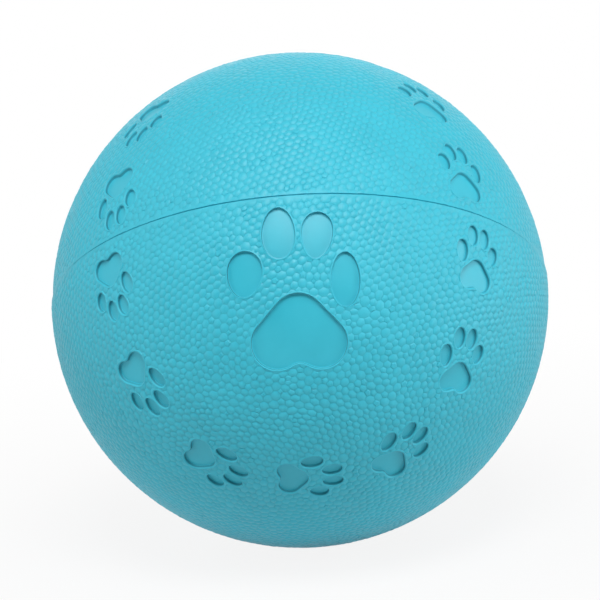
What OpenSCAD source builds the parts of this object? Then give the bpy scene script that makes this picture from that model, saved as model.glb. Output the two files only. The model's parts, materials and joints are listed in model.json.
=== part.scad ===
// Squeaky rubber dog ball: two bonded rubber halves with pressed prints and a reed squeaker at the pole.
// Millimetres. The origin is the middle of the ball, +Z is up and -Y is the front.

/* [Ball] */
// Outside diameter of the lower half, over its pebbled skin
ball_d = 100; // [80:1:130]
// Thickness of the rubber wall
wall = 5; // [4:0.5:7]
// Angle by which the seam tips back from level, so that the front big print faces forward
seam_tilt = 35; // [0:1:60]

/* [Seam] */
// Step by which the lower half stands proud of the upper half
seam_step = 0.3; // [0:0.05:0.5]
// Radius on the outer edge of each rim
seam_round = 0.4; // [0.2:0.05:0.8]
// Thickness of the rubber at the bonded rims
rim_wall = 7.5; // [7:0.25:10]
// Height of the straight inner face of each rim
rim_h = 5; // [4:0.5:8]
// Height of the slope that runs each rim out into the wall
rim_slope = 4; // [3:0.5:8]
// Width of the tongue on the lower rim
tongue_w = 2.4; // [1.6:0.1:3]
// Height of the tongue
tongue_h = 2.4; // [1.4:0.1:3.2]
// Glue gap around the tongue
tongue_gap = 0.1; // [0.05:0.05:0.3]

/* [Prints] */
// Depth of the pressed prints
print_depth = 0.65; // [0.4:0.05:1.5]
// Width of a big print's pad
pad_w = 17.9; // [14:0.1:20]
// Height of a big print's pad
pad_h = 14.1; // [12:0.1:16]
// Radius of the pad's crown
pad_crown_r = 5.1; // [3.5:0.1:6]
// Radius of the pad's two heel lobes
pad_lobe_r = 4.9; // [3.5:0.1:5.5]
// Radius of the hollow between the heel lobes
pad_notch_r = 2.6; // [2:0.1:6]
// Drop of the pad's crown below the middle of the print
pad_drop = 0.6; // [0:0.1:2]
// Width of a toe
toe_w = 5.8; // [4:0.1:6.6]
// Height of a toe
toe_h = 9.5; // [7:0.1:11]
// Distance of each outer toe from the print's middle line
outer_toe_x = 9.3; // [8.5:0.1:12]
// Rise of the outer toes above the print's middle
outer_toe_y = 2.4; // [0:0.1:4]
// Distance of each inner toe from the print's middle line
inner_toe_x = 3.6; // [3.4:0.1:5]
// Rise of the inner toes above the print's middle
inner_toe_y = 10.4; // [8:0.1:12]
// Turn of a big print's toes about its middle
toe_turn = 6.5; // [-8:0.5:8]
// Size of a trail print, as a share of a big print
trail_share = 0.43; // [0.3:0.01:0.5]

/* [Print layout] */
// Angle from the seam to the middle of each big print
big_print_lat = 20.7; // [15:0.1:30]
// Turn of the upper half against the lower half, which joins the trail across the seam
half_twist = 90; // [0:1:360]

/* [Squeaker] */
// Rubber left over the squeaker's outer end
skin_t = 3; // [2:0.1:4]
// Diameter of the sound hole through that rubber
sound_hole_d = 5; // [3:0.1:5.4]
// Outside diameter of the barrel
barrel_d = 15; // [14:0.1:18]
// Length of the barrel
barrel_len = 15; // [14:0.5:18]
// Wall of the barrel
barrel_wall = 1.5; // [1:0.1:2]
// Thickness of the barrel's outer end
barrel_end = 2; // [1.2:0.1:3]
// Diameter of the collar that locks the barrel in the neck
collar_d = 18.5; // [17:0.1:21]
// Height of the collar
collar_h = 2.4; // [1.5:0.1:4]
// Distance from the barrel's outer end to the collar
collar_drop = 8; // [5:0.1:8.5]
// Rubber of the neck around the collar
neck_wall = 2.8; // [2:0.1:5]
// Length of barrel that stands out of the neck
barrel_out = 2; // [1:0.1:2.4]
// Height of the slope at the neck's root
neck_flare = 3; // [1:0.5:5]
// Clearance between the barrel and the rubber
neck_gap = 0.1; // [0.05:0.05:0.3]
// Thickness of the rear cap's flange
cap_flange = 1.4; // [1:0.1:2.5]
// Depth of the rear cap's spigot inside the barrel
cap_spigot = 2; // [1:0.1:2.4]
// Wall of the rear cap's spigot
cap_wall = 1.2; // [0.8:0.1:1.6]
// Diameter of each air hole in the rear cap
air_hole_d = 2; // [1:0.1:2.4]
// Count of air holes around the middle one
air_holes = 6; // [3:1:6]

/* [Reed] */
// Diameter of the round plug that the seat and the key make together
plug_d = 6.1; // [5.6:0.1:6.6]
// Wall of the socket around the plug
socket_wall = 1.2; // [0.8:0.1:2]
// Length of the socket and of the key
socket_len = 5; // [4.4:0.1:6]
// Length of the reed seat
seat_len = 12; // [11.6:0.1:12.2]
// Width of the sound channel along the seat
channel_w = 2.6; // [1.8:0.1:3.2]
// Depth of the sound channel
channel_depth = 1.9; // [1.2:0.1:2.2]
// Length of the closed inner end of the channel
channel_stop = 1.5; // [1.2:0.1:2]
// Angle of the seat's free face, which the reed closes against
seat_slant = 5; // [4.9:0.1:8]
// Width of the reed
reed_w = 4.4; // [3.6:0.1:4.6]
// Thickness of the reed
reed_t = 0.2; // [0.1:0.05:0.3]
// Length of the reed from its rocking line to its free end
reed_free = 8.5; // [7.5:0.1:8.6]
// Length of the reed's root, behind its rocking line
reed_root = 2.2; // [1.8:0.1:2.4]
// Distance from the socket's inner end to the rocking line
rock_in = 2; // [1:0.1:2.2]
// Distance from the rocking line to the peg that holds the reed
peg_up = 1.1; // [0.9:0.1:1.2]
// Diameter of the peg on the key
peg_d = 1; // [0.6:0.1:1.2]
// Clearance around the reed, its peg and the plug
reed_gap = 0.03; // [0.02:0.01:0.06]
// Clearance around the peg in the reed's hole
peg_gap = 0.2; // [0.1:0.05:0.3]
// Slip clearance of the plug in the socket and of the cap in the barrel
fit_gap = 0.05; // [0.02:0.01:0.1]

/* [Hidden] */
$fn = 96;
eps = 0.01;
rubber = "#39b9cf";
ivory = "#ece6d4";
amber = "#d8b25a";

// Half radii
lower_r = ball_d / 2;
upper_r = lower_r - seam_step;

// Tongue, midway between the rim's inner face and the upper half's skin
rim_in_r = lower_r - rim_wall;
tongue_mid_r = (rim_in_r + upper_r) / 2;
tongue_in_r = tongue_mid_r - tongue_w / 2;

// Print outline
toe_sides = 20;
toe_swell = 0.08;
arc_steps = 8;
pad_lobe_x = pad_w / 2 - pad_lobe_r;
pad_lobe_y = pad_lobe_r - pad_h;
pad_notch_y = pad_lobe_y - sqrt(pow(pad_notch_r + pad_lobe_r, 2) - pow(pad_lobe_x, 2));
big_pad_shift = 0.5;
big_pad_turn = 2;
trail_pad_share = 0.96;
toe_at = [[-outer_toe_x, outer_toe_y], [-inner_toe_x, inner_toe_y],
    [inner_toe_x, inner_toe_y], [outer_toe_x, outer_toe_y]];
print_reach = inner_toe_y + toe_h / 2 + inner_toe_x;

// Toes from left to right: shares of the toe's width and height, and lean
big_toes = [[1.13, 0.92, -2.5], [1.07, 1.02, 3.5], [1, 0.93, -1.5], [0.93, 1.07, 3.5]];
trail_toes = [[1, 1, 7], [1, 1, 2.5], [1, 1, -2.5], [1, 1, -7]];

// Trail prints from the pole side outwards: angle round the big print, angle away from it, turn, skew
lower_trail = [[0, 44.7, 0, -1], [29.4, 46.2, -16, -10], [63.1, 42.6, -3, -10], [96.1, 44.4, 22, -1]];
upper_trail = [[0, 47, 0, 3], [29.4, 48, -16, -6], [64.4, 45.2, -1.5, -5], [95.7, 46.5, 19.5, 1.5]];

// Levels along the pole, from the outside inwards
barrel_top = upper_r - skin_t;
barrel_foot = barrel_top - barrel_len;
collar_top = barrel_top - collar_drop;
neck_foot = barrel_foot + barrel_out;
neck_r = collar_d / 2 + neck_gap + neck_wall;
barrel_in_r = barrel_d / 2 - barrel_wall;
socket_r = plug_d / 2 + fit_gap;
socket_foot = barrel_top - socket_len;
rock_z = socket_foot + rock_in;
seat_foot = barrel_top - seat_len;
key_relief = seat_slant + 0.5;
peg_tip = 0.6;

// Turns the ball from its own axes, with the pole upright, to the way it rests
module resting() {
    rotate([-seam_tilt, 0, 0]) children();
}

function arc(middle, r, from, to) =
    [for (i = [0 : arc_steps]) let (a = from + (to - from) * i / arc_steps) middle + r * [cos(a), sin(a)]];

// Three-lobed pad with its crown at the origin: crown, right lobe, hollow, left lobe
function pad_outline() =
    let (fall = [pad_lobe_x, pad_lobe_y + pad_crown_r],
         side = atan2(fall.y, fall.x) + acos((pad_crown_r - pad_lobe_r) / norm(fall)),
         dip = atan2(pad_lobe_y - pad_notch_y, pad_lobe_x))
    concat(
        arc([0, -pad_crown_r], pad_crown_r, 180 - side, side),
        arc([pad_lobe_x, pad_lobe_y], pad_lobe_r, side, dip - 180),
        arc([0, pad_notch_y], pad_notch_r, dip, 180 - dip),
        arc([-pad_lobe_x, pad_lobe_y], pad_lobe_r, -dip, -180 - side));

// Oval toe, a little broader towards its tip
function toe_outline(w, h) =
    [for (i = [0 : toe_sides - 1])
        let (a = 360 * i / toe_sides)
        [w / 2 * cos(a) * (1 + toe_swell * sin(a)), h / 2 * sin(a)]];

module toe_outlines(toes) {
    for (i = [0 : len(toes) - 1])
        translate(toe_at[i]) rotate(toes[i][2]) polygon(toe_outline(toe_w * toes[i][0], toe_h * toes[i][1]));
}

module big_outline() {
    translate([big_pad_shift, -pad_drop]) rotate(-big_pad_turn) polygon(pad_outline());
    rotate(-toe_turn) toe_outlines(big_toes);
}

module trail_outline() {
    translate([0, -pad_drop / 2]) scale([1, trail_pad_share]) polygon(pad_outline());
    toe_outlines(trail_toes);
}

// Upright column of one print, from under its pocket to past the skin
module print_column(r, share) {
    foot = sqrt(pow(r - print_depth, 2) - pow(print_reach * share, 2)) - 1;
    translate([0, 0, foot]) linear_extrude(r + 1 - foot) scale(share) children();
}

// Moves a print from the top of a sphere to an angle above the seam and an angle round the pole
module on_ball(lat, az) {
    rotate([0, 0, az]) rotate([90 - lat, 0, 0]) children();
}

// Prints of one half: on each of two sides a big print, with seven trail prints walking round it
module half_prints(r, trail) {
    for (az = [0, 180]) on_ball(-big_print_lat, az) {
        print_column(r, 1) big_outline();
        for (i = [0 : len(trail) - 1], side = i == 0 ? [1] : [-1, 1])
            rotate([0, 0, 180 + side * trail[i][0]])
                rotate([-trail[i][1], 0, 0])
                    rotate([0, 0, 90 - trail[i][3] - side * trail[i][2]])
                        print_column(r, trail_share) trail_outline();
    }
}

module print_pockets(r) {
    difference() {
        children();
        sphere(r - print_depth);
    }
}

// Half section of one rubber half, rim upwards, with its outer rim edge rounded
module half_section(r) {
    round_x = sqrt(pow(r - seam_round, 2) - pow(seam_round, 2));
    past = r + 1;
    difference() {
        union() {
            difference() {
                circle(r);
                circle(r - wall);
            }
            intersection() {
                circle(r - wall / 2);
                polygon([[rim_in_r, 0], [rim_in_r, -rim_h], [r - wall, -rim_h - rim_slope],
                    [r, -rim_h - rim_slope], [r, 0]]);
            }
        }
        translate([-past, -past]) square([past, 2 * past]);
        translate([-past, 0]) square([2 * past, past]);
        difference() {
            polygon([[round_x, -seam_round], [round_x, eps], [past, eps],
                [past, -seam_round * past / round_x]]);
            translate([round_x, -seam_round]) circle(seam_round);
        }
    }
}

module lower_shell() {
    color(rubber) resting() {
        difference() {
            rotate_extrude() {
                half_section(lower_r);
                translate([tongue_in_r, -eps]) square([tongue_w, tongue_h + eps]);
            }
            print_pockets(lower_r) half_prints(lower_r, lower_trail);
        }
    }
}

// Half section of the neck that grips the squeaker
module neck_section() {
    neck_top = sqrt(pow(upper_r - wall / 2, 2) - pow(neck_r + neck_flare, 2));
    root = sqrt(pow(upper_r - wall, 2) - pow(neck_r, 2));
    polygon([[0, neck_foot], [neck_r, neck_foot], [neck_r, root - neck_flare],
        [neck_r + neck_flare, root], [neck_r + neck_flare, neck_top], [0, neck_top]]);
}

// Half section of the room for the barrel and its collar, and of the sound hole
module squeaker_room() {
    translate([0, neck_foot - 1]) square([barrel_d / 2 + neck_gap, barrel_top - neck_foot + 1]);
    translate([0, collar_top - collar_h - neck_gap])
        square([collar_d / 2 + neck_gap, collar_h + 2 * neck_gap]);
    translate([0, neck_foot]) square([sound_hole_d / 2, upper_r]);
}

module upper_shell() {
    color(rubber) resting() {
        difference() {
            rotate_extrude() difference() {
                union() {
                    mirror([0, 1]) half_section(upper_r);
                    neck_section();
                }
                squeaker_room();
                translate([tongue_in_r - tongue_gap, -1])
                    square([tongue_w + 2 * tongue_gap, tongue_h + tongue_gap + 1]);
            }
            print_pockets(upper_r) rotate([0, 0, half_twist]) mirror([0, 0, 1])
                half_prints(upper_r, upper_trail);
        }
    }
}

module squeaker_barrel() {
    color(ivory) resting() rotate_extrude() difference() {
        union() {
            translate([0, barrel_foot]) square([barrel_d / 2, barrel_len]);
            translate([0, collar_top - collar_h]) square([collar_d / 2, collar_h]);
        }
        difference() {
            translate([0, barrel_foot - 1]) square([barrel_in_r, barrel_len - barrel_end + 1]);
            translate([0, socket_foot]) square([socket_r + socket_wall, socket_len]);
        }
        translate([0, barrel_foot - 1]) square([socket_r, barrel_len + 2]);
    }
}

module squeaker_cap() {
    spigot_r = barrel_in_r - fit_gap;
    ring_r = (spigot_r - cap_wall + air_hole_d / 2) / 2;
    color(ivory) resting() difference() {
        translate([0, 0, barrel_foot]) {
            translate([0, 0, -cap_flange]) cylinder(h = cap_flange, r = barrel_d / 2);
            cylinder(h = cap_spigot, r = spigot_r);
        }
        translate([0, 0, barrel_foot]) cylinder(h = cap_spigot + 1, r = spigot_r - cap_wall);
        translate([0, 0, barrel_foot - cap_flange - 1]) {
            cylinder(h = cap_flange + 2, d = air_hole_d);
            for (i = [1 : air_holes])
                rotate(360 * i / air_holes) translate([ring_r, 0])
                    cylinder(h = cap_flange + 2, d = air_hole_d);
        }
    }
}

// Side view of a shape that runs across the reed: first value along the pole, second across the plug
module across(width) {
    rotate([90, 0, 90]) translate([0, 0, -width / 2]) linear_extrude(width) children();
}

// Half-round seat: flat behind the rocking line, slanted away from the reed in front of it
module reed_seat() {
    fall = (rock_z - seat_foot) * tan(seat_slant);
    color(ivory) resting() difference() {
        intersection() {
            translate([0, 0, seat_foot]) cylinder(h = seat_len, d = plug_d);
            across(plug_d) polygon([[-plug_d, seat_foot], [-fall, seat_foot], [0, rock_z],
                [0, barrel_top], [-plug_d, barrel_top]]);
        }
        translate([-channel_w / 2, -channel_depth, seat_foot + channel_stop])
            cube([channel_w, channel_depth + 1, seat_len]);
    }
}

// Half-round key that closes the plug: it holds the reed at the rocking line and lets its root rise
module reed_key() {
    slot_t = reed_t + 2 * reed_gap;
    rise = (barrel_top - rock_z) * tan(key_relief);
    color(ivory) resting() {
        difference() {
            intersection() {
                translate([0, 0, socket_foot]) cylinder(h = socket_len, d = plug_d);
                translate([-plug_d, 0, socket_foot]) cube([2 * plug_d, plug_d, socket_len]);
            }
            across(reed_w + 2 * reed_gap) polygon([[-1, socket_foot - 1], [slot_t, socket_foot - 1],
                [slot_t, rock_z], [slot_t + rise, barrel_top], [-1, barrel_top]]);
        }
        translate([0, slot_t + rise, rock_z + peg_up]) rotate([90, 0, 0])
            cylinder(h = slot_t + rise + peg_tip, d = peg_d);
    }
}

// Springy strip that rocks on the seat's edge and shuts the channel at each beat
module reed() {
    color(amber) resting() difference() {
        translate([-reed_w / 2, reed_gap, rock_z - reed_free]) cube([reed_w, reed_t, reed_free + reed_root]);
        translate([0, reed_gap + reed_t + 1, rock_z + peg_up]) rotate([90, 0, 0])
            cylinder(h = reed_t + 2, d = peg_d + 2 * peg_gap);
    }
}

lower_shell();
upper_shell();
squeaker_barrel();
squeaker_cap();
reed_seat();
reed_key();
reed();
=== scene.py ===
import json
import math

import bpy
import numpy as np
from mathutils import Matrix, Vector
from mathutils.geometry import delaunay_2d_cdt


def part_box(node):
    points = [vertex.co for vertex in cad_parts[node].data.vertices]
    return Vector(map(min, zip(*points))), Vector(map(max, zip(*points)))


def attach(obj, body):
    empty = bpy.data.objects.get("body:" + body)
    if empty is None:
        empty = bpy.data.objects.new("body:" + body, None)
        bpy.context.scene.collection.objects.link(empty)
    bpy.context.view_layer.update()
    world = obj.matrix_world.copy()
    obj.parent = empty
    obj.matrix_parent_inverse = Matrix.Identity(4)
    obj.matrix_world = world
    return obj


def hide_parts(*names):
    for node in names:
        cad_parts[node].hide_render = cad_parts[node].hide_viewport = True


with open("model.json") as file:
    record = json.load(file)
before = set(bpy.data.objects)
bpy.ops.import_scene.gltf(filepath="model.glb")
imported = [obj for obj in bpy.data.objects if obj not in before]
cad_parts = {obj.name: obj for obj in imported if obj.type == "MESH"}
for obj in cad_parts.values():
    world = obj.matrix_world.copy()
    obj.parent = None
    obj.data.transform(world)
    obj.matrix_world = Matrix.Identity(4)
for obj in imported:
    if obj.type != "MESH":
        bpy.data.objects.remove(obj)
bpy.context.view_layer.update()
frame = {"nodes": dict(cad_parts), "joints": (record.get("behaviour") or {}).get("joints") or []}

mm = 0.001
scene = bpy.context.scene
print("frame loaded:", ", ".join(sorted(frame["nodes"])))

# the ball is modelled with its pole upright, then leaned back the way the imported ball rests
ball = {
    "seamStep": 0.3 * mm,        # the lower half stands proud by this much
    "wall": 5.0 * mm,
    "halfTwist": 90.0,           # turn of the upper half's prints against the lower half's
}
reedPivot = Vector(frame["joints"][0]["pos_m"])      # the reed's hinge lies on the axis of the pole
seamTilt = math.atan2(reedPivot.y, reedPivot.z)
restTurn = Matrix.Rotation(-seamTilt, 4, "X")
lowerLow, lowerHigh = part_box("lower_shell")
lowerRadius = (lowerHigh[0] - lowerLow[0]) / 2
upperRadius = lowerRadius - ball["seamStep"]
print(f"ball radius {lowerRadius / mm:.2f} mm, seam leans {math.degrees(seamTilt):.1f} degrees")


def pick(piece):
    bpy.ops.object.select_all(action="DESELECT")
    piece.select_set(True)
    bpy.context.view_layer.objects.active = piece


def rawPiece(name, points, edges=(), faces=()):
    mesh = bpy.data.meshes.new(name)
    mesh.from_pydata(points, edges, faces)
    piece = bpy.data.objects.new(name, mesh)
    scene.collection.objects.link(piece)
    return piece


def editAll(piece):
    pick(piece)
    bpy.ops.object.mode_set(mode="EDIT")
    bpy.ops.mesh.select_all(action="SELECT")


def leaveEdit():
    bpy.ops.object.mode_set(mode="OBJECT")


def carve(piece, tool, operation):
    # one boolean step; the tool is used up
    step = piece.modifiers.new(operation.lower(), "BOOLEAN")
    step.operation = operation
    step.solver = "MANIFOLD"
    step.object = tool
    pick(piece)
    bpy.ops.object.modifier_apply(modifier=step.name)
    bpy.data.objects.remove(tool)


def meshPoints(piece):
    flat = np.empty(len(piece.data.vertices) * 3)
    piece.data.vertices.foreach_get("co", flat)
    return flat.reshape(-1, 3)


def unit(rows):
    return rows / np.linalg.norm(rows, axis=-1, keepdims=True)


# pebbled skin
pebbles = {
    "pitch": 1.5 * mm,
    "jitter": 0.16,              # of the pitch
    "relaxSteps": 2,
    "valley": 0.16 * mm,         # depth of the valleys below the crowns
    "shoulder": 0.03 * mm,       # drop of the shoulder below the crown
    "shoulderShare": 0.66,       # size of the shoulder ring against its cell
    "liftSpread": 0.015 * mm,    # how much the crowns differ in height
    "calm": 0.9 * mm,            # the valleys run out this close to the seam
    "flatShare": 0.2,            # of that, left without valleys
    "overlap": 0.1,              # of the radius: how far the pebbles run past the seam before the trim
    "settledShare": 0.6,         # of the overlap: how far the pebbles settle
    "seed": 11,
    "liftSeed": 12,
}


def pebbleNet(points):
    # seen from the pole, circles on the ball stay circles, so the flat Delaunay net is the ball's own
    flat = points[:, :2] / (1 - points[:, 2:])
    triangles = delaunay_2d_cdt([Vector(spot) for spot in flat], [], [], 0, 0)[2]
    return np.array(triangles)


def pebbleSeeds():
    # points spread evenly by the golden angle, shaken, then settled so that no two crowd each other
    cellArea = pebbles["pitch"] ** 2 * math.sqrt(3) / 2
    count = int(4 * math.pi * lowerRadius ** 2 / cellArea)
    draw = np.random.default_rng(pebbles["seed"])
    step = np.arange(count) + 0.5
    height = 1 - 2 * step / count
    around = step * math.pi * (3 - math.sqrt(5))
    reach = np.sqrt(1 - height ** 2)
    points = np.stack([reach * np.cos(around), reach * np.sin(around), height], axis=1)
    shake = pebbles["jitter"] * pebbles["pitch"] / lowerRadius
    points = unit(points + draw.normal(0, shake, points.shape))
    points = points[points[:, 2] < pebbles["overlap"]]
    inside = points[:, 2] < pebbles["overlap"] * pebbles["settledShare"]
    for relaxStep in range(pebbles["relaxSteps"]):
        corners = pebbleNet(points)
        middles = points[corners].mean(axis=1)
        settled = np.zeros_like(points)
        for side in range(3):
            np.add.at(settled, corners[:, side], middles)
        points[inside] = unit(settled)[inside]
    return points


def pebbleCells():
    # the dual of the net: one cell round each seed
    points = pebbleSeeds()
    net = rawPiece("pebbleNet", points.tolist(), faces=pebbleNet(points).tolist())
    tree = bpy.data.node_groups.new("pebbleCells", "GeometryNodeTree")
    for side in ("INPUT", "OUTPUT"):
        tree.interface.new_socket("Geometry", in_out=side, socket_type="NodeSocketGeometry")
    begin = tree.nodes.new("NodeGroupInput")
    dual = tree.nodes.new("GeometryNodeDualMesh")
    end = tree.nodes.new("NodeGroupOutput")
    tree.links.new(begin.outputs[0], dual.inputs["Mesh"])
    tree.links.new(dual.outputs["Dual Mesh"], end.inputs[0])
    step = net.modifiers.new("cells", "NODES")
    step.node_group = tree
    pick(net)
    bpy.ops.object.modifier_apply(modifier=step.name)
    print(f"{len(net.data.polygons)} pebbles to a half")
    return net


def pebbleSkin(name, cells, radius, turn):
    # each cell becomes a rounded pebble: valley corners, a shoulder ring and a crown
    draw = np.random.default_rng(pebbles["liftSeed"])
    corners = unit(meshPoints(cells)) @ np.array(turn.to_3x3()).T
    sides = np.empty(len(cells.data.polygons), dtype=int)
    starts = np.empty_like(sides)
    cells.data.polygons.foreach_get("loop_total", sides)
    cells.data.polygons.foreach_get("loop_start", starts)
    loops = np.empty(len(cells.data.loops), dtype=int)
    cells.data.loops.foreach_get("vertex_index", loops)
    rise = np.abs(corners[:, 2:]) * radius / pebbles["calm"] - pebbles["flatShare"]
    points = [corners * (radius - pebbles["valley"] * np.clip(rise, 0, 1))]
    faces = []
    used = len(corners)
    for count in np.unique(sides):
        first = starts[sides == count]
        ring = loops[first[:, None] + np.arange(count)]
        here = corners[ring]
        middle = unit(here.mean(axis=1))[:, None]
        lift = draw.normal(0, pebbles["liftSpread"], (len(first), 1, 1))
        shoulder = unit(middle + pebbles["shoulderShare"] * (here - middle))
        points.append((shoulder * (radius - pebbles["shoulder"] + lift)).reshape(-1, 3))
        points.append((middle * (radius + lift)).reshape(-1, 3))
        inner = used + np.arange(len(first))[:, None] * count + np.arange(count)
        crown = used + len(first) * count + np.arange(len(first))
        used += len(first) * (count + 1)
        for side in range(count):
            onward = (side + 1) % count
            faces += [np.stack(three, axis=1) for three in (
                (ring[:, side], ring[:, onward], inner[:, onward]),
                (ring[:, side], inner[:, onward], inner[:, side]),
                (inner[:, side], inner[:, onward], crown))]
    skin = rawPiece(name, np.concatenate(points).tolist(), faces=np.concatenate(faces).tolist())
    editAll(skin)
    bpy.ops.mesh.fill_holes(sides=0)
    bpy.ops.mesh.select_all(action="SELECT")
    bpy.ops.mesh.normals_make_consistent(inside=False)
    leaveEdit()
    return skin


# rubber halves
rim = {
    "wall": 7.5 * mm,
    "height": 5.0 * mm,
    "slope": 4.0 * mm,
    # outer edge of each rim, from past the skin to the joint face: depth below the skin and height, in mm
    "lowerEdge": [(-1, 0.39), (0.024, 0.225), (0.09, 0.108), (0.195, 0.03), (0.36, 0)],
    "upperEdge": [(-1, 0.34), (0.02, 0.26), (0.12, 0.18), (0.35, 0.1), (1.1, 0)],
    "tongueWidth": 2.4 * mm,
    "tongueHeight": 2.4 * mm,
    "glueGap": 0.1 * mm,
}
neck = {
    "skin": 3.0 * mm,            # rubber over the squeaker's outer end
    "holeRadius": 2.5 * mm,
    "holeEdge": 0.45 * mm,       # size of the hole's eased edge
    "edgeBend": 0.3,             # of that size: how far its middle lies from the hole's wall
    "barrelRadius": 7.6 * mm,
    "collarRadius": 9.35 * mm,
    "collarTop": 7.9 * mm,       # below the barrel's outer end
    "collarHeight": 2.6 * mm,
    "radius": 12.15 * mm,
    "length": 13.0 * mm,
    "flare": 3.0 * mm,
}
# spun solids that give each half its hollow, its rim and the hole
blank = {
    "margin": 1.0 * mm,          # their outer face stands this far clear of the skin
    "rimStart": 1.5,             # degrees from the seam where the rim's edge begins
    "holeSpread": 1.5,           # of the hole's mouth: where the dome begins
    "arcSteps": 24,
    "spinSteps": 96,
    "weld": 0.001 * mm,
}
rimInner = lowerRadius - rim["wall"]
tongueMiddle = (rimInner + upperRadius) / 2


def arcPoints(radius, fromDegrees, toDegrees):
    angles = np.radians(np.linspace(fromDegrees, toDegrees, blank["arcSteps"]))
    return [(radius * math.cos(a), radius * math.sin(a)) for a in angles]


def outerRim(radius, edge, side):
    return [(radius - deep * mm, side * high * mm) for deep, high in edge]


def innerRim(radius):
    # inner face of the thick rim, and the angle at which its slope meets the wall
    foot = rim["height"] + rim["slope"]
    inside = radius - ball["wall"]
    meet = math.degrees(math.asin(foot / inside))
    return [(rimInner, 0), (rimInner, -rim["height"])], -meet


def spunSolid(name, profile, closed):
    count = len(profile)
    edges = [(i, i + 1) for i in range(count - 1)] + ([(count - 1, 0)] if closed else [])
    piece = rawPiece(name, [(r, 0, z) for r, z in profile], edges)
    editAll(piece)
    bpy.ops.mesh.spin(steps=blank["spinSteps"], angle=2 * math.pi, center=(0, 0, 0), axis=(0, 0, 1))
    bpy.ops.mesh.select_all(action="SELECT")
    bpy.ops.mesh.remove_doubles(threshold=blank["weld"])
    bpy.ops.mesh.normals_make_consistent(inside=False)
    leaveEdit()
    return piece


def lowerBlank():
    half = rim["tongueWidth"] / 2
    inner, meet = innerRim(lowerRadius)
    profile = arcPoints(lowerRadius + blank["margin"], -90, -blank["rimStart"])
    profile += outerRim(lowerRadius, rim["lowerEdge"], -1)
    profile += [(tongueMiddle + half, 0), (tongueMiddle + half, rim["tongueHeight"]),
                (tongueMiddle - half, rim["tongueHeight"]), (tongueMiddle - half, 0)]
    profile += inner + arcPoints(lowerRadius - ball["wall"], meet, -90)
    for end in (0, -1):
        profile[end] = (0, profile[end][1])      # both ends lie on the axis
    return spunSolid("lowerBlank", profile, False)


def upperBlank():
    half = rim["tongueWidth"] / 2 + rim["glueGap"]
    deep = rim["tongueHeight"] + rim["glueGap"]
    inner, meet = innerRim(upperRadius)
    inside = upperRadius - ball["wall"]
    shoulder = upperRadius - neck["skin"]
    foot = shoulder - neck["length"]
    root = math.sqrt(inside ** 2 - neck["radius"] ** 2)
    flareStart = math.degrees(math.acos((neck["radius"] + neck["flare"]) / inside))
    hole, edge = neck["holeRadius"], neck["holeEdge"]
    holeTop = math.sqrt(upperRadius ** 2 - hole ** 2)
    bend = neck["edgeBend"] * edge
    mouth = hole + 2 * edge
    dome = upperRadius + blank["margin"]
    domeStart = math.degrees(math.acos(mouth * blank["holeSpread"] / dome))
    profile = [(mouth, dome)] + arcPoints(dome, domeStart, blank["rimStart"])
    profile += outerRim(upperRadius, rim["upperEdge"], 1)
    profile += [(tongueMiddle + half, 0), (tongueMiddle + half, deep),
                (tongueMiddle - half, deep), (tongueMiddle - half, 0)]
    profile += [(r, -z) for r, z in inner]
    profile += arcPoints(inside, -meet, flareStart)
    profile += [(neck["radius"], root - neck["flare"]), (neck["radius"], foot),
                (neck["barrelRadius"], foot)]
    collarTop = shoulder - neck["collarTop"]
    collarFoot = collarTop - neck["collarHeight"]
    profile += [(neck["barrelRadius"], collarFoot), (neck["collarRadius"], collarFoot),
                (neck["collarRadius"], collarTop), (neck["barrelRadius"], collarTop)]
    profile += [(neck["barrelRadius"], shoulder), (hole, shoulder)]
    profile += [(hole, holeTop - edge), (hole + bend, holeTop - bend), (hole + edge, holeTop)]
    return spunSolid("upperBlank", profile, True)


# pressed prints, in mm before their share: the pad, then the toes from left to right,
# each toe as its middle, width, height, lean in degrees and swell to the tip
bigPaw = {
    "padWidth": 17.9, "padHeight": 14.1, "crown": 5.1, "lobe": 4.9, "notch": 2.6,
    "padAt": (0.5, -0.65), "padTurn": -1.9,
    "toes": [(-9.04, 3.44, 6.53, 8.69, -8.9, 0.1), (-2.28, 10.65, 6.21, 9.71, -2.8, -0.07),
             (4.82, 9.76, 5.81, 8.81, -8.2, 0.17), (9.54, 1.3, 5.4, 10.19, -2.8, -0.04)],
    "share": 1.0, "padPoints": 60, "toePoints": 30, "floorRings": (0.6,),
    # sections of the pressed edge, in mm: how far outside the outline, and the height over the skin
    "pocket": [(0.2, 0.4), (0.07, 0.04), (0.02, -0.02), (0, -0.1), (-0.02, -0.55), (-0.07, -0.62),
               (-0.16, -0.65), (-0.34, -0.65)],
    "lip": [(0.32, -1), (0.32, -0.14), (0.27, -0.02), (0.17, 0.025)],
    "draft": 0.06,               # how far the wall leans out on the side of the half's own pole
}
trailPaw = {
    "padWidth": 18.1, "padHeight": 13.5, "crown": 4.8, "lobe": 4.7, "notch": 3.0,
    "padAt": (0, -0.3), "padTurn": 0,
    "toes": [(-9.3, 2.0, 5.9, 9.9, 7, 0.1), (-3.55, 10.4, 5.7, 9.1, 2.5, 0.06),
             (3.55, 10.4, 5.7, 9.1, -2.5, 0.06), (9.3, 3.9, 5.9, 8.4, -7, 0.1)],
    "share": 0.43, "padPoints": 30, "toePoints": 16, "floorRings": (),
    "pocket": [(0.4, 0.4), (0.3, 0.03), (0.17, -0.03), (0.07, -0.13), (0.01, -0.28), (-0.02, -0.65),
               (-0.06, -0.71), (-0.16, -0.72)],
    "lip": [(0.5, -1), (0.5, -0.14), (0.42, -0.03), (0.32, 0)],
    "draft": 0.12,
}
# points on an outline before it is stepped evenly: on each arc of a pad, and on a toe
outlinePoints = {"arc": 25, "toe": 180}
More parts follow.
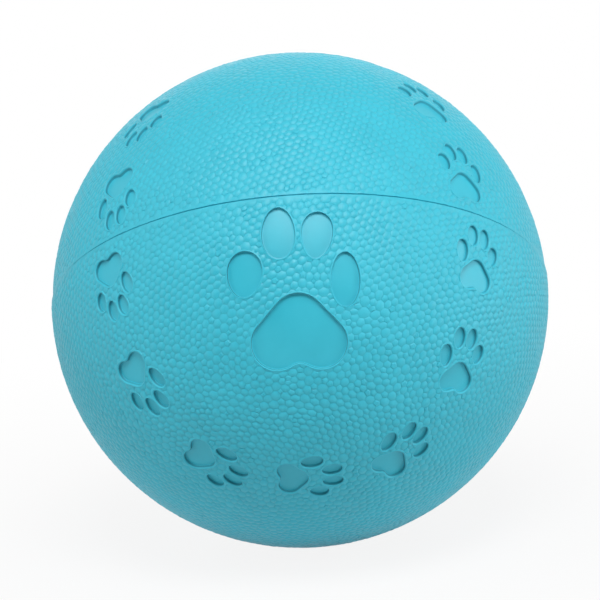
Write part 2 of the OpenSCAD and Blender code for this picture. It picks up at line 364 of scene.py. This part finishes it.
# trail prints in degrees, the one nearest the pole first:
# angle round the big print, angle away from it, turn of the walk, skew
trail = {
    "bigLatitude": 20.7,
    "lower": [(0, 44.7, 0, -1), (29.4, 46.2, -16, -10), (63.1, 42.6, -3, -10), (96.1, 44.4, 22, -1)],
    "upper": [(0, 47, 0, 3), (29.4, 48, -16, -6), (64.4, 45.2, -1.5, -5), (95.7, 46.5, 19.5, 1.5)],
}


def evenly(outline, count):
    # the same closed outline with equal steps
    loop = np.vstack([outline, outline[:1]])
    length = np.concatenate([[0], np.cumsum(np.linalg.norm(np.diff(loop, axis=0), axis=1))])
    marks = np.arange(count) / count * length[-1]
    return np.stack([np.interp(marks, length, loop[:, axis]) for axis in (0, 1)], axis=1)


def arcLine(middle, radius, fromDegrees, toDegrees):
    angles = np.radians(np.linspace(fromDegrees, toDegrees, outlinePoints["arc"]))
    return np.array(middle) + radius * np.stack([np.cos(angles), np.sin(angles)], axis=1)


def turned(line, degrees):
    angle = math.radians(degrees)
    return line @ np.array([[math.cos(angle), math.sin(angle)], [-math.sin(angle), math.cos(angle)]])


def padOutline(paw):
    # a crown and two lobes joined by straight sides, with a notch between the lobes
    crown, lobe, notch = paw["crown"], paw["lobe"], paw["notch"]
    lobeX = paw["padWidth"] / 2 - lobe
    lobeY = lobe - paw["padHeight"]
    notchY = lobeY - math.sqrt((notch + lobe) ** 2 - lobeX ** 2)
    fall = math.hypot(lobeX, lobeY + crown)
    side = math.degrees(math.atan2(lobeY + crown, lobeX) + math.acos((crown - lobe) / fall))
    dip = math.degrees(math.atan2(lobeY - notchY, lobeX))
    line = np.vstack([
        arcLine((0, -crown), crown, 180 - side, side),
        arcLine((lobeX, lobeY), lobe, side, dip - 180),
        arcLine((0, notchY), notch, dip, 180 - dip),
        arcLine((-lobeX, lobeY), lobe, -dip, -180 - side)])[::-1]
    return evenly(turned(line, paw["padTurn"]) + paw["padAt"], paw["padPoints"])


def toeOutline(toe, count):
    x, y, width, height, lean, swell = toe
    angle = np.radians(np.arange(outlinePoints["toe"]) * 360 / outlinePoints["toe"])
    wide = width / 2 * np.cos(angle) * (1 + swell * np.sin(angle))
    line = np.stack([wide, height / 2 * np.sin(angle)], axis=1)
    return evenly(turned(line, lean) + (x, y), count)


def pawOutlines(paw):
    # the pad, then the four toes from left to right
    outlines = [padOutline(paw)] + [toeOutline(toe, paw["toePoints"]) for toe in paw["toes"]]
    return [outline * paw["share"] * mm for outline in outlines]


def outwardOf(outline):
    along = np.roll(outline, -1, axis=0) - np.roll(outline, 1, axis=0)
    return unit(np.stack([along[:, 1], -along[:, 0]], axis=1))


def onSphere(flat, radius, level):
    # straight up from the print's plane to the skin, then in or out along the radius
    up = np.sqrt(radius ** 2 - (flat ** 2).sum(axis=1))
    return np.column_stack([flat, up]) * (1 + level / radius)


def plug(outline, paw, part, poleward, radius):
    # closed plug: a ring for each step of the section, shrinking rings on its last level, fans at both ends
    section = paw[part]
    deepest = paw["pocket"][-1][1]
    outward = outwardOf(outline)
    lean = np.clip(outward @ poleward, 0, 1)[:, None] * paw["draft"]

    def ringAt(wide, level):
        # a pocket's wall leans about its middle, and a lip keeps outside the pocket all the way down
        risen = 1 if part == "lip" else min(1, 1 - level / deepest)
        return outline + outward * (wide + lean * (risen - 0.5)) * mm

    rings = [onSphere(ringAt(wide, level), radius, level * mm) for wide, level in section]
    topLevel, lastLevel = section[0][1] * mm, section[-1][1] * mm
    lastRing = ringAt(*section[-1])
    middle = lastRing.mean(axis=0)
    for share in paw["floorRings"]:
        rings.append(onSphere(middle + share * (lastRing - middle), radius, lastLevel))
    ends = [onSphere(middle[None], radius, level) for level in (topLevel, lastLevel)]
    points = np.vstack(rings + ends)
    top, foot = len(points) - 2, len(points) - 1
    count = len(outline)
    lastStart = (len(rings) - 1) * count
    faces = []
    for i in range(count):
        j = (i + 1) % count
        faces += [(r * count + i, r * count + j, (r + 1) * count + j, (r + 1) * count + i)
                  for r in range(len(rings) - 1)]
        faces += [(j, i, top), (lastStart + i, lastStart + j, foot)]
    return points, faces


def spinX(degrees):
    return np.array(Matrix.Rotation(math.radians(degrees), 3, "X"))


def spinZ(degrees):
    return np.array(Matrix.Rotation(math.radians(degrees), 3, "Z"))


def printPlaces(walk):
    # a big print on two sides, each with a trail of small ones walking round it
    places = []
    for around in (0, 180):
        big = spinZ(around) @ spinX(90 + trail["bigLatitude"])
        places.append((big, bigPaw))
        for i, (angle, away, turn, skew) in enumerate(walk):
            sides = (1,) if i == 0 else (-1, 1)      # the first print stands alone, the rest in pairs
            for side in sides:
                place = big @ spinZ(180 + side * angle) @ spinX(-away) @ spinZ(90 - skew - side * turn)
                places.append((place, trailPaw))
    return places


def upperPrintPlaces():
    # mirrored through the seam and turned
    flip = spinZ(ball["halfTwist"]) @ np.diag((1, 1, -1))
    return [(flip @ place, paw) for place, paw in printPlaces(trail["upper"])]


def printTool(places, radius, part, chosen):
    # joined plugs for the chosen outlines of every print of a half
    points, faces, used = [], [], 0
    side = np.sign(places[0][0][2, 2])           # 1 on the upper half, -1 on the lower
    for place, paw in places:
        poleward = side * place[2, :2]
        outlines = pawOutlines(paw)
        for number in chosen:
            more, joins = plug(outlines[number], paw, part, poleward, radius)
            points.append(more @ place.T)
            faces += [tuple(used + i for i in face) for face in joins]
            used += len(more)
    tool = rawPiece(part, np.vstack(points).tolist(), faces=faces)
    editAll(tool)
    bpy.ops.mesh.normals_make_consistent(inside=False)
    leaveEdit()
    return tool


halfFinish = {
    # pad and toes are taken in turns, so that the plugs of one tool stay clear of each other
    "turns": ((0,), (1, 3), (2, 4)),
    "seamCalm": 1.0,             # mm beside the seam that count as level
    "smoothAngle": 32.0,         # edges sharper than this stay crisp
}


def markWalls(skin, radius):
    # for the painted shade along print walls: mm below the skin, and how steep the surface is away from the
    # seam
    points = meshPoints(skin)
    normals = np.empty(points.size)
    skin.data.vertex_normals.foreach_get("vector", normals)
    level = np.abs((normals.reshape(-1, 3) * unit(points)).sum(axis=1))
    steepness = (1 - level) * np.clip(np.abs(points[:, 2]) / mm - halfFinish["seamCalm"], 0, 1)
    depth = (radius - np.linalg.norm(points, axis=1)) / mm
    for label, values in (("skinDepth", depth), ("steepness", steepness)):
        skin.data.attributes.new(label, "FLOAT", "POINT").data.foreach_set("value", values)


def rubberHalf(name, skin, blankSolid, places, radius):
    carve(skin, blankSolid, "INTERSECT")
    for part, operation in (("lip", "UNION"), ("pocket", "DIFFERENCE")):
        for chosen in halfFinish["turns"]:
            carve(skin, printTool(places, radius, part, chosen), operation)
    skin.name = name
    skin.data.name = name
    markWalls(skin, radius)
    skin.data.transform(restTurn)
    pick(skin)
    bpy.ops.object.shade_smooth_by_angle(angle=math.radians(halfFinish["smoothAngle"]))
    print(f"{name}: {sum(len(p.vertices) - 2 for p in skin.data.polygons)} triangles")
    return skin


cells = pebbleCells()
lowerSkin = pebbleSkin("lowerSkin", cells, lowerRadius, Matrix.Identity(4))
upperSkin = pebbleSkin("upperSkin", cells, upperRadius, Matrix.Rotation(math.pi, 4, "X"))
bpy.data.objects.remove(cells)
lowerHalf = rubberHalf("lowerRubberHalf", lowerSkin, lowerBlank(), printPlaces(trail["lower"]), lowerRadius)
upperHalf = rubberHalf("upperRubberHalf", upperSkin, upperBlank(), upperPrintPlaces(), upperRadius)


# materials
def newMaterial(name):
    material = bpy.data.materials.new(name)
    material.use_nodes = True
    tree = material.node_tree
    return material, tree, tree.nodes["Principled BSDF"]


def addNode(tree, kind, **inputs):
    node = tree.nodes.new(kind)
    for key, value in inputs.items():
        node.inputs[key].default_value = value
    return node


def reckon(tree, operation, first, second, third=None):
    node = tree.nodes.new("ShaderNodeMath")
    node.operation = operation
    for spot, value in enumerate((first, second, third)):
        if isinstance(value, (int, float)):
            node.inputs[spot].default_value = value
        elif value is not None:
            tree.links.new(value, node.inputs[spot])
    return node.outputs["Value"]


def ramp(tree, value, fromMin, fromMax, toMin, toMax):
    node = addNode(tree, "ShaderNodeMapRange")
    node.interpolation_type = "SMOOTHSTEP"
    for key, level in (("From Min", fromMin), ("From Max", fromMax), ("To Min", toMin), ("To Max", toMax)):
        node.inputs[key].default_value = level
    tree.links.new(value, node.inputs["Value"])
    return node.outputs["Result"]


def attributeOf(tree, label):
    node = addNode(tree, "ShaderNodeAttribute")
    node.attribute_name = label
    return node.outputs["Fac"]


def join(tree, *pairs):
    for giver, taker in pairs:
        tree.links.new(giver, taker)


moulding = {
    "cloudDetail": 6.0,
    "cloudRoughness": 0.6,
    "cloudSpan": (0.3, 0.7),     # levels of the cloud noise that give the low and the high finish
    "grainDetail": 2.0,
    "grainStrength": 0.12,
}


def mouldedFinish():
    # cloudy colour and roughness with a fine grain, as moulding leaves them
    group = bpy.data.node_groups.new("mouldedFinish", "ShaderNodeTree")
    takes = {"Low Colour": "Color", "High Colour": "Color",
             "Low Roughness": "Float", "High Roughness": "Float",
             "Cloud Scale": "Float", "Grain Scale": "Float", "Grain Depth": "Float"}
    gives = {"Colour": "Color", "Roughness": "Float", "Normal": "Vector"}
    for side, sockets in (("INPUT", takes), ("OUTPUT", gives)):
        for name, kind in sockets.items():
            group.interface.new_socket(name, in_out=side, socket_type="NodeSocket" + kind)
    given = addNode(group, "NodeGroupInput").outputs
    result = addNode(group, "NodeGroupOutput").inputs
    place = addNode(group, "ShaderNodeTexCoord").outputs["Object"]
    cloud = addNode(group, "ShaderNodeTexNoise",
                    Detail=moulding["cloudDetail"], Roughness=moulding["cloudRoughness"])
    share = ramp(group, cloud.outputs["Fac"], *moulding["cloudSpan"], 0, 1)
    colour = addNode(group, "ShaderNodeMix")
    colour.data_type = "RGBA"
    rough = addNode(group, "ShaderNodeMapRange")
    grain = addNode(group, "ShaderNodeTexNoise", Detail=moulding["grainDetail"])
    bump = addNode(group, "ShaderNodeBump", Strength=moulding["grainStrength"])
    join(group, (place, cloud.inputs["Vector"]), (given["Cloud Scale"], cloud.inputs["Scale"]),
         (share, colour.inputs["Factor"]), (given["Low Colour"], colour.inputs["A"]),
         (given["High Colour"], colour.inputs["B"]), (colour.outputs["Result"], result["Colour"]),
         (share, rough.inputs["Value"]), (given["Low Roughness"], rough.inputs["To Min"]),
         (given["High Roughness"], rough.inputs["To Max"]), (rough.outputs["Result"], result["Roughness"]),
         (place, grain.inputs["Vector"]), (given["Grain Scale"], grain.inputs["Scale"]),
         (grain.outputs["Fac"], bump.inputs["Height"]), (given["Grain Depth"], bump.inputs["Distance"]),
         (bump.outputs["Normal"], result["Normal"]))
    return group


finishGroup = mouldedFinish()


def addFinish(tree, look):
    node = tree.nodes.new("ShaderNodeGroup")
    node.node_tree = finishGroup
    for key, (low, high) in (("Colour", look["colour"]), ("Roughness", look["roughness"])):
        node.inputs["Low " + key].default_value = low
        node.inputs["High " + key].default_value = high
    node.inputs["Cloud Scale"].default_value = look["cloudScale"]
    node.inputs["Grain Scale"].default_value = look["grainScale"]
    node.inputs["Grain Depth"].default_value = look["grainDepth"]
    return node.outputs


rubberLook = {
    "colour": ((0.027, 0.485, 0.625, 1), (0.033, 0.519, 0.665, 1)),
    "roughness": (0.47, 0.57),
    "cloudScale": 120.0,
    "grainScale": 2600.0,
    "grainDepth": 0.05 * mm,
    # dark teal painted into the pebble cracks and along steep print walls as painted shade
    "paintedShadeColour": (0.006, 0.11, 0.155, 1),
    # painted shade in the cracks and along print walls: mm below the skin where it begins and is full, and
    # its share
    "cracks": (0.06, 0.16, 0.08),
    "walls": (0.13, 0.26, 0.66),
    "steep": (0.4, 0.85),            # how steep a wall has to be
    "floors": (0.53, 0.63),          # mm below the skin where the floors begin
    "floorSmoothing": 0.05,          # how much smoother the floors are
    "wallDulling": 0.5,              # how much rougher the shade makes the walls
    "specular": 0.6,
    "sheenWeight": 0.09,             # pale bloom
    "sheenRoughness": 0.4,
}


# share of the painted shade at a given depth below the skin
def paintedShadeBelow(tree, depth, shade):
    start, full, share = shade
    return ramp(tree, depth, start, full, 0, share)


def tealRubber():
    material, tree, shader = newMaterial("tealRubber")
    finish = addFinish(tree, rubberLook)
    # painted shade: the colour is mixed towards dark teal in the pebble cracks and on steep print walls, and
    # those walls are made rougher
    depth = attributeOf(tree, "skinDepth")
    upright = ramp(tree, attributeOf(tree, "steepness"), *rubberLook["steep"], 0, 1)
    aboveFloors = ramp(tree, depth, *rubberLook["floors"], 1, 0)
    cracks = reckon(tree, "MULTIPLY", paintedShadeBelow(tree, depth, rubberLook["cracks"]), aboveFloors)
    walls = paintedShadeBelow(tree, depth, rubberLook["walls"])
    shade = reckon(tree, "MULTIPLY_ADD", walls, upright, cracks)
    smoothing = ramp(tree, depth, *rubberLook["floors"], 0, rubberLook["floorSmoothing"])
    skinRough = reckon(tree, "SUBTRACT", finish["Roughness"], smoothing)
    roughness = reckon(tree, "MULTIPLY_ADD", shade, rubberLook["wallDulling"], skinRough)
    paintedShadeMix = addNode(tree, "ShaderNodeMix")
    paintedShadeMix.data_type = "RGBA"
    paintedShadeMix.inputs["B"].default_value = rubberLook["paintedShadeColour"]
    join(tree, (shade, paintedShadeMix.inputs["Factor"]), (finish["Colour"], paintedShadeMix.inputs["A"]),
         (paintedShadeMix.outputs["Result"], shader.inputs["Base Color"]),
         (roughness, shader.inputs["Roughness"]), (finish["Normal"], shader.inputs["Normal"]))
    shader.inputs["Specular IOR Level"].default_value = rubberLook["specular"]
    shader.inputs["Sheen Weight"].default_value = rubberLook["sheenWeight"]
    shader.inputs["Sheen Roughness"].default_value = rubberLook["sheenRoughness"]
    return material


plasticLook = {
    "colour": ((0.76, 0.72, 0.61, 1), (0.85, 0.82, 0.73, 1)),
    "roughness": (0.34, 0.48),
    "cloudScale": 260.0,
    "grainScale": 4200.0,
    "grainDepth": 0.02 * mm,
    "coat": 0.0,
}
filmLook = {
    "colour": ((0.56, 0.38, 0.12, 1), (0.74, 0.56, 0.25, 1)),
    "roughness": (0.1, 0.2),
    "cloudScale": 420.0,
    "grainScale": 6000.0,
    "grainDepth": 0.01 * mm,
    "coat": 0.5,
}


def squeakerFinish(name, look):
    material, tree, shader = newMaterial(name)
    finish = addFinish(tree, look)
    join(tree, (finish["Colour"], shader.inputs["Base Color"]),
         (finish["Roughness"], shader.inputs["Roughness"]), (finish["Normal"], shader.inputs["Normal"]))
    shader.inputs["Coat Weight"].default_value = look["coat"]
    return material


rubber = tealRubber()
for half, node in ((lowerHalf, "lower_shell"), (upperHalf, "upper_shell")):
    half.data.materials.clear()
    half.data.materials.append(rubber)
    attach(half, "ball")
    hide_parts(node)
ivoryPlastic = squeakerFinish("ivoryPlastic", plasticLook)
amberFilm = squeakerFinish("amberFilm", filmLook)
for name in ("squeaker_barrel", "squeaker_cap", "reed_seat", "reed_key", "reed"):
    for slot in frame["nodes"][name].material_slots:
        slot.material = amberFilm if name == "reed" else ivoryPlastic
print("materials set")

# floor, light and camera
studio = {
    "floorSize": 6.0,
    "floorDrop": 0.1 * mm,           # keeps the floor clear of the highest crowns
    "floorColour": (0.7, 0.7, 0.7, 1),
    "floorRoughness": 0.9,
    "shadowReach": 0.2,              # the shadow fades into white paper at this distance from the ball
    "shadowShare": 0.12,             # how much of the shadow shows under the ball
    "roomColour": (1, 1, 1, 1),
    "roomLight": 0.02,               # what the white room adds to the lamps
    "gloss": (0.03, 1.0),            # brightness of the room's front and back, as gloss shows them
    "roomGlossSpan": (-0.4, 0.4),    # where the room turns from front to back, along its unit direction
    "floorGlossSpan": (-0.1, 0.02),  # where the floor does, in metres
}
# lamps a metre away: azimuth from the front, elevation, size in metres, watts
lamps = {
    "overhead": (7, 58, 0.42, 7.7),
    "behind": (180, 14, 0.6, 2.0),
    "rightFront": (48, 32, 0.5, 0.9),
    "leftSide": (-70, 35, 0.5, 1.8),
    "leftLow": (-70, 8, 0.5, 1.4),
    "rightLow": (78, 9, 0.5, 3.6),
}
view = {
    "azimuth": 1.06, "elevation": 12.15, "roll": 4.3,
    "distance": 0.55, "lens": 163.4, "sensor": 36.0,
    "aim": (0, 0, -0.14 * mm),
}


def towards(azimuth, elevation):
    around, up = math.radians(azimuth), math.radians(elevation)
    return Vector((math.sin(around) * math.cos(up), -math.cos(around) * math.cos(up), math.sin(up)))


def seenDirectly(tree, straight, gloss):
    # what the camera sees, straight or through glass, and what gloss shows
    # light that only falls on other surfaces gets 0
    path = addNode(tree, "ShaderNodeLightPath")
    clear = reckon(tree, "ADD", path.outputs["Is Camera Ray"], path.outputs["Is Transmission Ray"])
    shown = reckon(tree, "MULTIPLY", clear, straight)
    return reckon(tree, "MULTIPLY_ADD", path.outputs["Is Glossy Ray"], gloss, shown)


def floorPaper():
    # white paper to the eye, except for the soft shadow round the ball
    material, tree, shader = newMaterial("floorPaper")
    shader.inputs["Base Color"].default_value = studio["floorColour"]
    shader.inputs["Roughness"].default_value = studio["floorRoughness"]
    shader.inputs["Specular IOR Level"].default_value = 0.0
    place = addNode(tree, "ShaderNodeTexCoord").outputs["Object"]
    reach = addNode(tree, "ShaderNodeVectorMath")
    reach.operation = "LENGTH"
    facing = addNode(tree, "ShaderNodeSeparateXYZ")
    straight = ramp(tree, reach.outputs["Value"], 0, studio["shadowReach"], 1 - studio["shadowShare"], 1)
    gloss = ramp(tree, facing.outputs["Y"], *studio["floorGlossSpan"], *studio["gloss"])
    paper = addNode(tree, "ShaderNodeEmission", Strength=1.0)
    blend = addNode(tree, "ShaderNodeMixShader")
    join(tree, (place, reach.inputs[0]), (place, facing.inputs["Vector"]),
         (seenDirectly(tree, straight, gloss), blend.inputs["Fac"]),
         (shader.outputs["BSDF"], blend.inputs[1]), (paper.outputs["Emission"], blend.inputs[2]),
         (blend.outputs["Shader"], tree.nodes["Material Output"].inputs["Surface"]))
    return material


def whiteRoom():
    world = bpy.data.worlds.new("whiteRoom")
    world.use_nodes = True
    tree = world.node_tree
    room = tree.nodes["Background"]
    room.inputs["Color"].default_value = studio["roomColour"]
    direction = addNode(tree, "ShaderNodeTexCoord").outputs["Generated"]
    facing = addNode(tree, "ShaderNodeSeparateXYZ")
    gloss = ramp(tree, facing.outputs["Y"], *studio["roomGlossSpan"], *studio["gloss"])
    strength = reckon(tree, "MAXIMUM", seenDirectly(tree, 1.0, gloss), studio["roomLight"])
    join(tree, (direction, facing.inputs["Vector"]), (strength, room.inputs["Strength"]))
    return world


def hangLamp(name, azimuth, elevation, size, watts):
    lampData = bpy.data.lights.new(name, "AREA")
    lampData.energy = watts
    lampData.size = size
    lamp = bpy.data.objects.new(name, lampData)
    scene.collection.objects.link(lamp)
    lamp.location = towards(azimuth, elevation)
    lamp.rotation_euler = lamp.location.to_track_quat("Z", "Y").to_euler()


def photoCamera():
    cameraData = bpy.data.cameras.new("photoCamera")
    cameraData.lens = view["lens"]
    cameraData.sensor_width = view["sensor"]
    camera = bpy.data.objects.new("photoCamera", cameraData)
    scene.collection.objects.link(camera)
    away = towards(view["azimuth"], view["elevation"])
    camera.location = away * view["distance"] + Vector(view["aim"])
    camera.rotation_mode = "QUATERNION"
    rollTurn = Matrix.Rotation(math.radians(-view["roll"]), 3, "Z").to_quaternion()
    camera.rotation_quaternion = (-away).to_track_quat("-Z", "Y") @ rollTurn
    return camera


bpy.ops.object.select_all(action="DESELECT")
bpy.ops.mesh.primitive_plane_add(size=studio["floorSize"])
floor = bpy.context.object
floor.name = "studioFloor"
floor.location.z = -lowerRadius - studio["floorDrop"]
floor.data.materials.append(floorPaper())
scene.world = whiteRoom()
for name, setting in lamps.items():
    hangLamp(name, *setting)
scene.camera = photoCamera()
scene.view_settings.view_transform = "Standard"
print("stage set")
